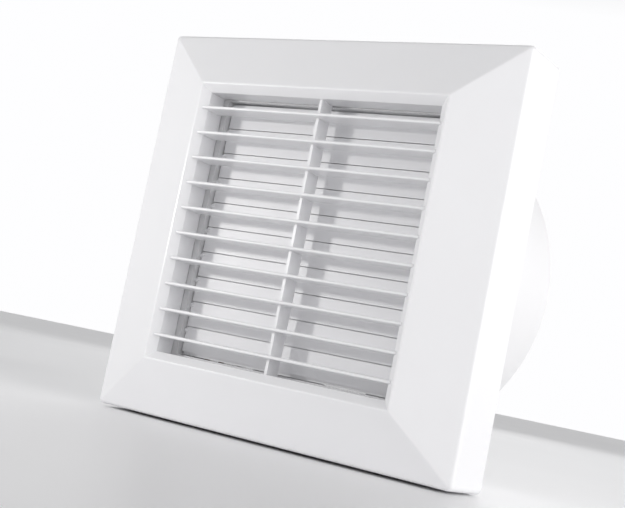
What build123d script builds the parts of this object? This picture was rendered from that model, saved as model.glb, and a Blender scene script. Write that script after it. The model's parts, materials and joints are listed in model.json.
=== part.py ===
from build123d import *
import math
import os

# Bathroom extractor fan with motor-driven air path and self-opening shutters.
# Frame: X right, Y into the wall, Z up. The origin is on the duct axis, in the wall plane,
# which is the rear face of the housing. Everything in front of the wall has a negative Y.

# ---------------------------------------------------------------- driving dimensions (mm)

# Front cover
plate_side = 165.0         # outside width and height of the square cover at the wall
rim_depth = 27.0           # straight side of the cover, from the wall to the bevel
rim_draft = 0.8            # each side leans in by this much over the rim depth
bevel_rise = 9.0           # the bevel climbs this far beyond the rim
cover_wall = 2.4           # thickness of the rim and the bevel
wall_standoff = 0.8        # the cover's rear edge stays this far off the wall
opening_width = 112.0      # between the ridges, left to right
opening_height = 117.4     # between the ridges, bottom to top
splay_run = 3.4            # the splay narrows the opening by this much on each side
splay_depth = 3.2          # and reaches this far behind the ridge
reveal_wall = 2.0          # thickness of the tube behind the splay
reveal_depth = 13.4        # ridge to the rear edge of that tube
rim_round = 2.2            # outer corners, mitres and the edge between rim and bevel
ridge_flat = 0.7           # width of the narrow land along the ridge
hook_width = 8.0           # two lugs inside the top of the cover
hook_thickness = 2.2
cover_screw_x = 30.0       # two screws under the cover, and two lugs above

# Fixed grille blades and the shutter flaps behind them
blade_count = 10           # blades in the cover, and flaps behind them
blade_pitch = 10.75
blade_setback = 0.9        # ridge to the front edge of a blade
blade_depth = 10.0
blade_nose = 1.3           # thickness at the front edge
blade_heel = 1.7           # thickness at the rear edge
rib_thickness = 1.2        # upright rib behind the blades' front edges
rib_setback = 4.6          # ridge to the front edge of the rib
flap_setback = 3.5         # rear edge of the reveal to the flaps' hinge axes
flap_thickness = 1.2
flap_head = 1.5            # hinge axis to the top edge of a flap
flap_lap = 0.9             # a flap's lip hangs this far behind the next flap's head
flap_lip_thickness = 1.0
joint_gap = 0.35           # open line between one flap and the next
flap_end_gap = 0.6         # flap end to the shutter frame
flap_top_gap = 0.7         # top flap to the shutter frame
flap_bottom_gap = 0.4      # lip of the lowest flap to the shutter frame
throat_step_x = 2.4        # the frame's opening is narrower than the reveal by this, each side
throat_step_z = 0.6        # and lower by this at the top
frame_rail = 2.2           # thickness of the frame's top and bottom rails
pin_radius = 1.0           # hinge pins of the flaps
running_gap = 0.05         # radial clearance of every turning fit
open_angle = 80.0          # degrees from closed to open

# Shutter frame, cranks and link bar
frame_flange = 2.0         # thickness of the frame's front flange
frame_post = 2.8           # thickness of its side posts
frame_depth = 5.8          # posts, measured behind the flange
flange_overlap = 7.0       # flange width outside the posts
retainer_thickness = 2.0
crank_throw = 6.0          # hinge axis to crank pin
crank_thickness = 1.6
crank_pin_radius = 0.85
link_thickness = 1.8
link_width = 4.0
side_gap = 0.3             # clearance between parts that slide past each other

# Wax actuator
actuator_radius = 6.0
actuator_wall = 1.4
actuator_length = 38.0
capsule_length = 16.0
plunger_radius = 2.0
collar_thickness = 2.0
cap_thickness = 2.0
cap_rim = 0.8              # the cap's rim stands this far above the can
spring_wire = 0.6
spring_turns = 6.5
link_to_actuator = 9.7     # link bar's outside to the actuator's axis
strap_reach = 11.7         # half width of a strap over its two feet
strap_thickness = 1.2
strap_half_width = 3.0
strap_inset = 6.0          # each strap's middle to that end of the can
strap_overhang = 0.2       # strap beyond the edge of the flange
strap_screw_radius = 0.9
strap_screw_length = 3.0
actuator_relief = 0.3      # actuator to the flange, where the can is large enough to reach it
lug_rise = 9.0             # top of the actuator to the underside of the drive lug
lug_height = 2.5

# Housing tray, and the spigot bonded into it
cover_clearance = 0.7      # tray wall to the inside of the cover
tray_floor = 3.0
tray_wall = 2.0
tray_depth = 12.0          # height of the tray's wall above the wall plane
spigot_radius = 74.5       # outside, for a 150 mm duct
spigot_wall = 2.0
spigot_length = 60.0
spigot_seat_gap = 0.05     # spigot's foot to the tray, for the adhesive
spigot_seat_depth = 1.0    # cone between the spigot's foot and its outside, at the wall plane
spigot_chamfer = 0.9
wall_hole_radius = 2.25
wall_slot_length = 8.0
wall_hole_inset_x = 9.0    # slot centre to the outside of the tray, sideways
wall_hole_inset_z = 20.0   # the same, up and down
seal_width = 2.4
seal_thickness = 1.0
seal_inset = 1.0           # tray edge to the seal's groove
seal_slack = 0.1           # seal to each side of its groove
standoff_radius = 3.5
pad_margin = 1.0           # frame's pad beyond the standoff below it
boss_half = 4.0            # cover screw bosses inside the tray
boss_height = 8.0
cover_post_radius = 5.0    # posts in the cover for the same screws
cover_post_skin = 1.5      # outside of the cover to the posts
hook_gap = 0.4             # cover's hooks to their slots in the tray
pilot_skin = 0.8           # left in the tray below the carrier's screws
bite = 0.5                 # shapes of one moulding run this far into each other
standoff_x = 66.0          # shutter frame fixings
standoff_z = 50.0

# Motor and impeller
motor_radius = 28.5        # stator stack
cup_wall = 2.0
cup_gap = 1.1              # stator to the inside of the carrier's cup
sweep_clearance = 2.6      # open flaps to the front of the motor carrier
rubber_thickness = 1.5
rubber_radius = 3.5
shield_thickness = 2.5     # end shields
shield_hub_radius = 7.5
bearing_radius = 5.0
bearing_length = 4.0
shaft_radius = 2.5
stack_length = 14.0
coil_overhang = 3.5
coil_clearance = 1.0
pole_width = 9.0
yoke_width = 5.0
shoe_thickness = 1.8
air_gap = 0.35
rotor_radius = 13.2
motor_screw_radius = 1.25
motor_screw_circle = 26.0  # radius of the circle of motor screws
arm_thickness = 3.0
arm_depth = 10.0
pad_radius = 4.5
pad_gap = 1.6              # spigot to the pads
arm_gap = 0.6              # arms to the bore
cup_overrun = 0.5          # cup beyond the rear end shield
vent_radius = 3.0
vent_share = 0.55          # vents' circle, as a share of the cup's radius
vent_count = 8
impeller_blades = 6
impeller_hub_radius = 31.0
impeller_depth = 18.0
impeller_skin = 2.5
impeller_standoff = 2.0    # carrier cup to the impeller's hub
tip_gap = 1.5              # blade tips to the inside of the spigot
blade_skin = 1.8
nut_thickness = 3.0

# Terminal block, cable entry and fasteners
block_length = 22.0
block_width = 9.0
terminal_ways = 3
wire_depth = 5.6           # front of the block to the middle of the wires
block_inset = 15.0         # inside of the tray to the block's left end
block_gap = 0.5            # inside of the tray to the block's lower side
way_half = 2.1             # half width of a wire way, and radius of its screw shaft
way_front = 2.4            # middle of the wires to the front of the way
way_rear = 1.8             # and to its rear
way_floor = 1.5            # block's lower side to the bottom of the way
clamp_gap = 0.1            # brass clamp to its way
clamp_sink = 0.4           # top of the clamp below the top of the block
clamp_floor = 1.5          # way's bottom to where the wire stops
wire_slack = 0.4           # wire to the hole in its clamp
clamp_screw_radius = 1.2
clamp_screw_length = 2.5
clamp_screw_rise = 3.8     # middle of the wires to the underside of the screw's head
grommet_inset_x = 8.5      # inside of the tray to the cable entry, sideways
grommet_inset_z = 8.0      # and upwards
grommet_bore = 3.75        # for the supply cable
grommet_wall = 1.25
grommet_flange = 1.2
grommet_flange_radius = 6.0
lead_radius = 0.75
lead_bend = 4.0
lead_spread = 4.3          # between the two leads, where they pass the arm
lead_angle = 232.0         # where they leave the motor, about the duct axis, in degrees
lead_rise = 5.2            # floor of the cup to the leads
lead_step = 4.4            # between the two leads at the motor, in degrees
lead_bite = 0.4            # the leads start this far inside the cup's wall
lead_beside = 1.5          # carrier arm's pad to the first lead
lead_turn_in = 12.0        # the leads turn this far inside the bore
lead_turn_out = 2.0        # and pass this far outside the spigot
lead_run_out = 5.5         # above the block, before they turn down into it
lead_stagger = 1.0         # between the two leads' turns
screw_radius = 1.5
screw_head_radius = 2.8
screw_head_height = 1.8
pilot_gap = 0.05           # screw shank to its hole
screw_clearance = 0.2      # screw shank to a hole that it passes through freely
head_clearance = 0.3       # screw head to its counterbore

# ---------------------------------------------------------------- places that follow

half = plate_side / 2
ridge_y = -(rim_depth + bevel_rise)
reveal_x = opening_width / 2 - splay_run       # inside of the reveal, half width
reveal_z = opening_height / 2 - splay_run
reveal_y = ridge_y + reveal_depth              # rear edge of the reveal
half_stack = (blade_count - 1) / 2             # middle of the stack of blades, in pitches

flange_y = reveal_y + side_gap                 # front of the shutter frame
post_y = flange_y + frame_flange
post_end_y = post_y + frame_depth
flap_y = reveal_y + flap_setback + side_gap    # hinge axes
throat_x = reveal_x - throat_step_x            # inside of the shutter frame, half width
flap_half = throat_x - flap_end_gap
post_x = throat_x + frame_post                 # outside of the side posts
throat_top = reveal_z - throat_step_z
flap_top_z = throat_top - flap_top_gap - flap_head
flap_levels = [flap_top_z - i * blade_pitch for i in range(blade_count)]
flap_face = blade_pitch - flap_head - joint_gap  # hinge axis to the end of the flat face
flap_tail = blade_pitch - flap_head + flap_lap   # hinge axis to the tip of the lip
throat_bottom = flap_levels[-1] - flap_tail - flap_bottom_gap

crank_x = post_x + side_gap
crank_angle = open_angle / 2                   # the cranks swing evenly about level
crank_pin_y = crank_throw * math.cos(math.radians(crank_angle))
crank_pin_z = -crank_throw * math.sin(math.radians(crank_angle))
link_x = crank_x + crank_thickness + side_gap
link_y = flap_y + crank_pin_y
link_end = link_x + link_thickness
plunger_stroke = 2 * crank_throw * math.sin(math.radians(crank_angle))

actuator_x = link_end + link_to_actuator
actuator_y = link_y + (crank_throw - crank_pin_y) / 2
actuator_top = -5.0
actuator_bottom = actuator_top - actuator_length
capsule_top = actuator_bottom + actuator_wall + capsule_length
lug_z = actuator_top + lug_rise                # underside of the link bar's drive lug
strap_screw_reach = (actuator_radius + strap_thickness + strap_reach) / 2
strap_levels = (actuator_bottom + strap_inset, actuator_top - strap_inset)

tray_half = half - rim_draft / 2 - cover_wall - cover_clearance
tray_inner = tray_half - tray_wall
bore_radius = spigot_radius - spigot_wall
foot_radius = bore_radius + spigot_wall / 2    # the spigot's foot, inside the tray
wall_hole_x = tray_half - wall_hole_inset_x
wall_hole_z = tray_half - wall_hole_inset_z
cover_screw_y = -7.5
screw_seat_z = -half + screw_head_height + 0.1

carrier_y = flap_y + flap_tail + sweep_clearance
cup_radius = motor_radius + cup_gap
shield_y = carrier_y + cup_wall + rubber_thickness
lead_y = carrier_y + cup_wall + lead_rise
coil_y = shield_y + shield_thickness + coil_clearance
stack_y = coil_y + coil_overhang
stack_end = stack_y + stack_length
coil_end = stack_end + coil_overhang
rear_shield_y = coil_end + coil_clearance
motor_end = rear_shield_y + shield_thickness
rotor_bore = rotor_radius + air_gap
shoe_radius = rotor_bore + shoe_thickness
yoke_inner = motor_radius - yoke_width
impeller_y = motor_end + cup_overrun + impeller_standoff
impeller_end = impeller_y + impeller_depth
shaft_end = impeller_end + nut_thickness + 0.5
tip_radius = bore_radius - tip_gap
pad_circle = spigot_radius + pad_radius + pad_gap
block_x = -tray_inner + block_inset                 # left end of the terminal block
block_z = -tray_inner + block_gap                   # its lower side
block_front = post_end_y + retainer_thickness + side_gap  # just behind the retainers
wire_y = block_front + wire_depth
wire_stop = block_z + way_floor + clamp_floor
grommet_x = -tray_inner + grommet_inset_x
grommet_z = -tray_inner + grommet_inset_z

diagonals = [45 + 90 * i for i in range(4)]
corners = [(sx, sz) for sx in (-1, 1) for sz in (-1, 1)]

# ---------------------------------------------------------------- shape helpers


def block(x0, x1, y0, y1, z0, z1):
    """A box given by its two corners."""
    centre = Pos((x0 + x1) / 2, (y0 + y1) / 2, (z0 + z1) / 2)
    return centre * Box(x1 - x0, y1 - y0, z1 - z0)


def frame_block(half_x, half_z, y0, y1):
    """A box centred on the duct axis."""
    return block(-half_x, half_x, y0, y1, -half_z, half_z)


def rod_y(radius, y0, y1, x=0.0, z=0.0):
    return Pos(x, (y0 + y1) / 2, z) * Rot(90, 0, 0) * Cylinder(radius, y1 - y0)


def rod_x(radius, x0, x1, y, z):
    return Pos((x0 + x1) / 2, y, z) * Rot(0, 90, 0) * Cylinder(radius, x1 - x0)


def rod_z(radius, z0, z1, x, y):
    return Pos(x, y, (z0 + z1) / 2) * Cylinder(radius, z1 - z0)


def tube_y(outer, inner, y0, y1, x=0.0, z=0.0):
    return rod_y(outer, y0, y1, x, z) - rod_y(inner, y0 - 1, y1 + 1, x, z)


def pyramid(sections):
    """Straight-sided solid through rectangles given as (half width, half height, y)."""
    faces = []
    for half_x, half_z, y in sections:
        plane = Plane(origin=(0, y, 0), x_dir=(1, 0, 0), z_dir=(0, -1, 0))
        faces.append(plane * Rectangle(2 * half_x, 2 * half_z))
    return loft(faces, ruled=True)


def around(part, angle):
    """Turns a part about the duct axis."""
    return Rot(0, angle, 0) * part


def at_diagonal(radius, angle):
    """X and Z of a point at this radius and angle from +X towards +Z."""
    return radius * math.cos(math.radians(angle)), radius * math.sin(math.radians(angle))


def screw(length, radius=screw_radius, head_radius=screw_head_radius,
          head_height=screw_head_height):
    """Cross-headed screw: the underside of its head at the origin, the shank along -Z."""
    head = Pos(0, 0, head_height / 2) * Cylinder(head_radius, head_height)
    head = fillet(head.edges().group_by(Axis.Z)[-1], head_height * 0.45)
    shank = Pos(0, 0, -length / 2) * Cylinder(radius, length)
    shank = chamfer(shank.edges().group_by(Axis.Z)[0], radius * 0.45)
    recess = Box(head_radius * 1.2, head_radius * 0.26, head_height)
    recess += Box(head_radius * 0.26, head_radius * 1.2, head_height)
    return head + shank - Pos(0, 0, head_height) * recess


def set_at(part, origin, towards):
    """Places a part drawn along +Z so that it points along another direction."""
    return Plane(origin=origin, z_dir=towards) * part


# ---------------------------------------------------------------- front cover


def grille_blade():
    """One fixed blade at z = 0: a rounded nose, a slight draft, and ends shaped to the splay."""
    nose_y = ridge_y + blade_setback
    heel_y = nose_y + blade_depth
    nose, heel = blade_nose / 2, blade_heel / 2
    section = make_face([
        Line((nose_y + nose, -nose), (heel_y, -heel)),
        Line((heel_y, -heel), (heel_y, heel)),
        Line((heel_y, heel), (nose_y + nose, nose)),
        ThreePointArc((nose_y + nose, nose), (nose_y, 0), (nose_y + nose, -nose)),
    ])
    reach = reveal_x + reveal_wall
    bar = extrude(Plane.YZ * section, reach, both=True)
    tip = reveal_x + splay_run * 0.4
    into_wall = reveal_x + reveal_wall / 2
    splay_end = ridge_y + splay_depth
    outline = [(tip, nose_y), (tip + 0.8, nose_y + 0.9), (into_wall, splay_end), (into_wall, heel_y)]
    mirrored = [(-x, y) for x, y in reversed(outline)]
    planform = make_face(Polyline(outline + mirrored, close=True))
    return bar & extrude(planform, blade_heel, both=True)


def make_front_cover():
    """Bevelled square bezel, splayed reveal, ten fixed blades and the upright rib."""
    rim_half = half - rim_draft
    land_x = opening_width / 2 + ridge_flat / 2
    land_z = opening_height / 2 + ridge_flat / 2
    shell = pyramid([(half, half, -wall_standoff), (rim_half, rim_half, -rim_depth),
                     (land_x, land_z, ridge_y)])
    outline = [e for e in shell.edges() if e.center().Y < -wall_standoff - 0.01
               and e.center().Y > ridge_y + 0.01]
    shell = fillet(outline, rim_round)

    inner_half = half - cover_wall
    rim_inner = rim_half - cover_wall
    step = cover_wall * 1.06
    cavity = pyramid([(inner_half, inner_half, 1.0),
                      (rim_inner, rim_inner, -rim_depth + cover_wall * 0.65),
                      (opening_width / 2, opening_height / 2, ridge_y + step)])
    sleeve_x, sleeve_z = reveal_x + reveal_wall, reveal_z + reveal_wall
    cavity -= frame_block(sleeve_x, sleeve_z, ridge_y, reveal_y)
    shell -= cavity

    mouth_x = opening_width / 2 - ridge_flat / 2
    mouth_z = opening_height / 2 - ridge_flat / 2
    shell -= pyramid([(reveal_x, reveal_z, ridge_y + splay_depth), (mouth_x, mouth_z, ridge_y)])
    shell -= frame_block(reveal_x, reveal_z, ridge_y, 0)
    ridge = [e for e in shell.edges() if abs(e.center().Y - ridge_y) < 0.01]
    shell = fillet(ridge, ridge_flat * 0.4)

    blade = grille_blade()
    for i in range(blade_count):
        shell += Pos(0, 0, (half_stack - i) * blade_pitch) * blade
    rib_end = reveal_y - side_gap
    rib = block(-rib_thickness / 2, rib_thickness / 2, ridge_y + rib_setback, rib_end,
                -reveal_z - reveal_wall / 2, reveal_z + reveal_wall / 2)
    shell += rib

    for side in (-1, 1):
        hook_x = side * cover_screw_x
        shell += block(hook_x - hook_width / 2, hook_x + hook_width / 2,
                       cover_screw_y - hook_thickness / 2, cover_screw_y + hook_thickness / 2,
                       tray_inner, inner_half + bite)
        shell += rod_z(cover_post_radius, -half + cover_post_skin, -tray_half - side_gap, hook_x,
                       cover_screw_y)
        shell -= rod_z(screw_radius + screw_clearance, -half - 1, -tray_half, hook_x, cover_screw_y)
        shell -= rod_z(screw_head_radius + head_clearance, -half - 1, screw_seat_z, hook_x,
                       cover_screw_y)
    return shell


def make_cover_screws():
    """Two screws under the cover, up into the tray."""
    parts = []
    for side in (-1, 1):
        point = (side * cover_screw_x, cover_screw_y, screw_seat_z)
        parts.append(set_at(screw(9.0), point, (0, 0, -1)))
    return parts


# ---------------------------------------------------------------- housing and seal


def seal_ring(slack, y0, y1):
    """Square ring near the edge of the tray's rear face, outside the duct."""
    outer = tray_half - seal_inset - slack
    inner = tray_half - seal_inset - seal_width + slack
    return frame_block(outer, outer, y0, y1) - frame_block(inner, inner, y0 - 1, y1 + 1)


def make_housing():
    """Square tray with a round hole for the spigot, standoffs, bosses and fixing slots."""
    tray = frame_block(tray_half, tray_half, -tray_depth, 0)
    tray = fillet(tray.edges().filter_by(Axis.Y), rim_round)
    tray -= frame_block(tray_inner, tray_inner, -tray_depth - 1, -tray_floor)
    tray -= seal_ring(0, -seal_thickness, 1)

    for sx, sz in corners:
        x, z = sx * standoff_x, sz * standoff_z
        tray += rod_y(standoff_radius, post_y, -tray_floor, x, z)
        slot = SlotOverall(wall_slot_length, 2 * wall_hole_radius)
        plane = Plane(origin=(sx * wall_hole_x, 1, sz * wall_hole_z), x_dir=(1, 0, 0),
                      z_dir=(0, -1, 0))
        tray -= extrude(plane * slot, tray_floor + 2)
    for side in (-1, 1):
        x = side * cover_screw_x
        tray += block(x - boss_half, x + boss_half, cover_screw_y - boss_half, -tray_floor,
                      -tray_half, -tray_half + boss_height)
        tray -= rod_z(screw_radius + pilot_gap, -tray_half - 1, -tray_half + boss_height + 1, x,
                      cover_screw_y)
        wide, deep = hook_width / 2 + hook_gap, hook_thickness / 2 + hook_gap
        tray -= block(x - wide, x + wide, cover_screw_y - deep, cover_screw_y + deep,
                      tray_inner - 1, tray_half + 1)
    for angle in diagonals:
        x, z = at_diagonal(pad_circle, angle)
        tray -= rod_y(screw_radius + pilot_gap, -tray_floor - 1, -pilot_skin, x, z)
    tray -= rod_y(grommet_bore + grommet_wall, -tray_floor - 1, 1, grommet_x, grommet_z)

    tray -= rod_y(foot_radius + spigot_seat_gap, -tray_depth - 20, -spigot_seat_depth)
    tray -= spigot_foot(spigot_seat_gap)
    for sx, sz in corners:
        x, z = sx * standoff_x, sz * standoff_z
        tray -= rod_y(screw_radius + pilot_gap, post_y - 1, post_y + 11, x, z)
    return tray


def spigot_foot(slack):
    """Thin foot inside the tray, and the cone that widens it to the spigot at the wall plane."""
    cone = Cone(foot_radius + slack, spigot_radius + slack, spigot_seat_depth)
    foot = rod_y(foot_radius + slack, -tray_floor, -spigot_seat_depth)
    return foot + Pos(0, -spigot_seat_depth / 2, 0) * Rot(-90, 0, 0) * cone


def make_spigot():
    """Round duct spigot, whose foot plugs into the tray and is bonded there."""
    tube = rod_y(spigot_radius, 0, spigot_length)
    rear = tube.edges().filter_by(GeomType.CIRCLE).sort_by(Axis.Y)[-1]
    tube = chamfer(rear, spigot_chamfer) + spigot_foot(0)
    return tube - rod_y(bore_radius, -tray_floor - 1, spigot_length + 1)


def make_wall_seal():
    return seal_ring(seal_slack, -seal_thickness, 0)


# ---------------------------------------------------------------- shutter


def make_shutter_frame():
    """Flanged frame that carries the flap hinges and, on the right, the actuator."""
    wide = post_x + flange_overlap
    tall = reveal_z + 6.5
    right = actuator_x + strap_reach - strap_overhang
    flange = frame_block(wide, tall, flange_y, post_y)
    flange += block(post_x, right, flange_y, post_y, actuator_bottom - 2.0, actuator_top + 2.0)
    for sx, sz in corners:
        x, z = sx * standoff_x, sz * standoff_z
        flange += rod_y(standoff_radius + pad_margin, flange_y, post_y, x, z)
        flange += block(min(x, sx * wide * 0.9), max(x, sx * wide * 0.9), flange_y, post_y,
                        z - standoff_radius - pad_margin, z + standoff_radius + pad_margin)
    flange -= rod_z(actuator_radius + actuator_relief, actuator_bottom - actuator_relief,
                    actuator_top + cap_rim + actuator_relief, actuator_x, actuator_y)
    rails = block(-post_x, post_x, post_y, post_end_y, throat_bottom - frame_rail,
                  throat_top + frame_rail)
    frame = flange + rails
    frame -= block(-throat_x, throat_x, flange_y - 1, post_end_y + 1, throat_bottom, throat_top)
    for level in flap_levels:
        slot = pin_radius + running_gap
        for x0, x1 in ((-post_x - 1, -throat_x + 1), (throat_x - 1, post_x + 1)):
            frame -= rod_x(slot, x0, x1, flap_y, level)
            frame -= block(x0, x1, flap_y, post_end_y + 1, level - slot, level + slot)
    for sx, sz in corners:
        x, z = sx * standoff_x, sz * standoff_z
        frame -= rod_y(screw_radius + screw_clearance, flange_y - 1, post_y + 1, x, z)
    for level in strap_levels:
        for side in (-1, 1):
            x = actuator_x + side * strap_screw_reach
            frame -= rod_y(strap_screw_radius + pilot_gap, flange_y - 1, post_y + 1, x, level)
    return frame


def make_retainer(side):
    """Strip behind one post, with a tongue in each hinge slot that holds the pin in."""
    inner, outer = sorted((side * throat_x, side * post_x))
    strip = block(inner, outer, post_end_y, post_end_y + retainer_thickness,
                  throat_bottom - frame_rail, throat_top + frame_rail)
    for level in flap_levels:
        reach = pin_radius - 0.05
        strip += block(inner, outer, flap_y, post_end_y + 0.5, level - reach, level + reach)
        strip -= rod_x(pin_radius + running_gap, inner - 1, outer + 1, flap_y, level)
    return strip


def make_flap(level):
    """One shutter flap at rest: flat face, lip behind the next flap, pins and crank."""
    front, back = flap_y - flap_thickness / 2, flap_y + flap_thickness / 2
    lip_front = back + 0.25
    lip_back = lip_front + flap_lip_thickness
    face_end = level - flap_face
    lip_end = level - flap_tail
    outline = [
        (front, level + flap_head), (back, level + flap_head),
        (back, face_end + 1.6), (lip_back, face_end + 0.6), (lip_back, lip_end),
        (lip_front, lip_end), (lip_front, face_end), (front, face_end),
    ]
    section = make_face(Plane.YZ * Polyline(outline, close=True))
    flap = extrude(section, flap_half, both=True)
    flap += block(-flap_half + 2, flap_half - 2, back, back + 0.9, level - 2.4, level - 1.2)
    flap += rod_x(pin_radius, -post_x + 0.3, -flap_half + 1, flap_y, level)
    flap += rod_x(pin_radius, flap_half - 1, crank_x + crank_thickness, flap_y, level)

    pin_y, pin_z = flap_y + crank_pin_y, level + crank_pin_z
    hub = rod_x(1.3, crank_x, crank_x + crank_thickness, flap_y, level)
    eye = rod_x(1.7, crank_x, crank_x + crank_thickness, pin_y, pin_z)
    web = Pos(crank_x + crank_thickness / 2, (flap_y + pin_y) / 2, level + crank_pin_z / 2)
    web *= Rot(-crank_angle, 0, 0) * Box(crank_thickness, crank_throw, 2.4)
    flap += hub + eye + web
    return flap + rod_x(crank_pin_radius, crank_x + 0.5, link_end + 0.4, pin_y, pin_z)


def make_link_bar():
    """Flat bar over the ten crank pins, with the lug that the actuator pushes."""
    pins = [level + crank_pin_z for level in flap_levels]
    end = link_width / 2
    bar = block(link_x, link_end, link_y - end, link_y + end, pins[-1], pins[0])
    bar += rod_x(end, link_x, link_end, link_y, pins[-1])
    bar += rod_x(end, link_x, link_end, link_y, pins[0])
    bar += block(link_x, actuator_x + plunger_radius + 0.6, link_y - end, link_y + end + 1.4,
                 lug_z, lug_z + lug_height)
    for pin_z in pins:
        bar -= rod_x(crank_pin_radius + running_gap, link_x - 1, link_end + 1, link_y, pin_z)
    return bar


def make_frame_screws():
    parts = []
    for sx, sz in corners:
        point = (sx * standoff_x, flange_y, sz * standoff_z)
        parts.append(set_at(screw(11.0), point, (0, -1, 0)))
    return parts


# ---------------------------------------------------------------- actuator


def make_actuator_body():
    """Can that holds the wax capsule below and the return spring above."""
    body = rod_z(actuator_radius, actuator_bottom, actuator_top, actuator_x, actuator_y)
    body = fillet(body.edges().group_by(Axis.Z)[0], 1.0)
    room = actuator_radius - actuator_wall
    body -= rod_z(room, actuator_bottom + actuator_wall, actuator_top + 1, actuator_x, actuator_y)
    return body


def make_actuator_cap():
    fit = actuator_radius - actuator_wall - 0.05
    top = actuator_top + cap_rim
    cap = rod_z(fit, actuator_top - cap_thickness, actuator_top, actuator_x, actuator_y)
    cap += rod_z(actuator_radius, actuator_top, top, actuator_x, actuator_y)
    bore = plunger_radius + running_gap
    return cap - rod_z(bore, actuator_top - cap_thickness - 1, top + 1, actuator_x, actuator_y)


def make_wax_capsule():
    fit = actuator_radius - actuator_wall - 0.1
    bottom = actuator_bottom + actuator_wall
    capsule = rod_z(fit, bottom, capsule_top, actuator_x, actuator_y)
    capsule = chamfer(capsule.edges().group_by(Axis.Z)[-1], 1.0)
    return capsule


def make_plunger():
    collar = actuator_radius - actuator_wall - 0.2
    low = capsule_top + 0.1
    rod = rod_z(plunger_radius, low, lug_z - side_gap, actuator_x, actuator_y)
    rod = fillet(rod.edges().group_by(Axis.Z)[-1], 0.8)
    return rod + rod_z(collar, low, low + collar_thickness, actuator_x, actuator_y)


def make_return_spring():
    """Compression spring between the plunger's collar and the cap."""
    low = capsule_top + 0.1 + collar_thickness + spring_wire / 2 + 0.05
    high = actuator_top - cap_thickness - spring_wire / 2 - 0.05
    mean = plunger_radius + 0.5 + spring_wire / 2
    coil = Helix((high - low) / spring_turns, high - low, mean)
    start = Plane(origin=coil @ 0, z_dir=coil % 0)
    wire = sweep(start * Circle(spring_wire / 2), path=coil)
    return Pos(actuator_x, actuator_y, low) * wire


def make_strap(level):
    """Sheet-metal strap over the actuator, with a foot each side on the flange."""
    inner, outer = actuator_radius + 0.05, actuator_radius + strap_thickness
    z0, z1 = level - strap_half_width, level + strap_half_width
    seat = post_y
    strap = rod_z(outer, z0, z1, actuator_x, actuator_y)
    strap += block(actuator_x - outer, actuator_x + outer, seat, actuator_y, z0, z1)
    strap += block(actuator_x - strap_reach, actuator_x + strap_reach, seat,
                   seat + strap_thickness, z0, z1)
    strap -= rod_z(inner, z0 - 1, z1 + 1, actuator_x, actuator_y)
    strap -= block(actuator_x - inner, actuator_x + inner, seat - 1, actuator_y, z0 - 1, z1 + 1)
    strap -= block(actuator_x - outer, actuator_x + outer, seat - outer, seat, z0 - 1, z1 + 1)
    for side in (-1, 1):
        x = actuator_x + side * strap_screw_reach
        strap -= rod_y(strap_screw_radius + screw_clearance, seat - 1,
                       seat + strap_thickness + 1, x, level)
    return strap


def make_actuator_straps():
    return [make_strap(level) for level in strap_levels]


def make_strap_screws():
    parts = []
    for level in strap_levels:
        for side in (-1, 1):
            x = actuator_x + side * strap_screw_reach
            small = screw(strap_screw_length, radius=strap_screw_radius, head_radius=1.6,
                          head_height=1.0)
            parts.append(set_at(small, (x, post_y + strap_thickness, level), (0, 1, 0)))
    return parts


# ---------------------------------------------------------------- motor


def motor_screw_points():
    return [at_diagonal(motor_screw_circle, angle) for angle in diagonals]


def make_motor_carrier():
    """Cup round the motor on four arms, with a screw pad at the end of each arm."""
    cup = rod_y(cup_radius + cup_wall, carrier_y, motor_end + cup_overrun)
    cup = fillet(cup.edges().filter_by(GeomType.CIRCLE).sort_by(Axis.Y)[0], 1.5)
    arm = block(cup_radius, bore_radius - arm_gap, carrier_y, carrier_y + arm_depth,
                -arm_thickness / 2, arm_thickness / 2)
    arm += block(bore_radius - 2, pad_circle, carrier_y, -tray_floor, -pad_radius, pad_radius)
    arm += rod_y(pad_radius, carrier_y, -tray_floor, pad_circle, 0)
    arm -= rod_y(screw_radius + screw_clearance, carrier_y - 1, 0, pad_circle, 0)
    for angle in diagonals:
        cup += around(arm, -angle)
    cup -= rod_y(cup_radius, carrier_y + cup_wall, motor_end + 1)
    for x, z in motor_screw_points():
        cup -= rod_y(motor_screw_radius + screw_clearance, carrier_y - 1, carrier_y + cup_wall + 1, x, z)
    for i in range(vent_count):
        x, z = at_diagonal(cup_radius * vent_share, 360 / vent_count * i)
        cup -= rod_y(vent_radius, carrier_y - 1, carrier_y + cup_wall + 1, x, z)
    exit_x, exit_z = at_diagonal(cup_radius + cup_wall / 2, lead_angle)
    window = Plane(origin=(exit_x, lead_y, exit_z), z_dir=(exit_x, 0, exit_z))
    return cup - window * Cylinder(lead_radius * 3.2, cup_wall * 2)


def make_carrier_screws():
    parts = []
    for angle in diagonals:
        x, z = at_diagonal(pad_circle, angle)
        parts.append(set_at(screw(-0.9 - carrier_y), (x, carrier_y, z), (0, -1, 0)))
    return parts


def make_motor_rubbers():
    hole = motor_screw_radius + 0.1
    y = carrier_y + cup_wall
    return [tube_y(rubber_radius, hole, y, y + rubber_thickness, x, z)
            for x, z in motor_screw_points()]


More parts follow.
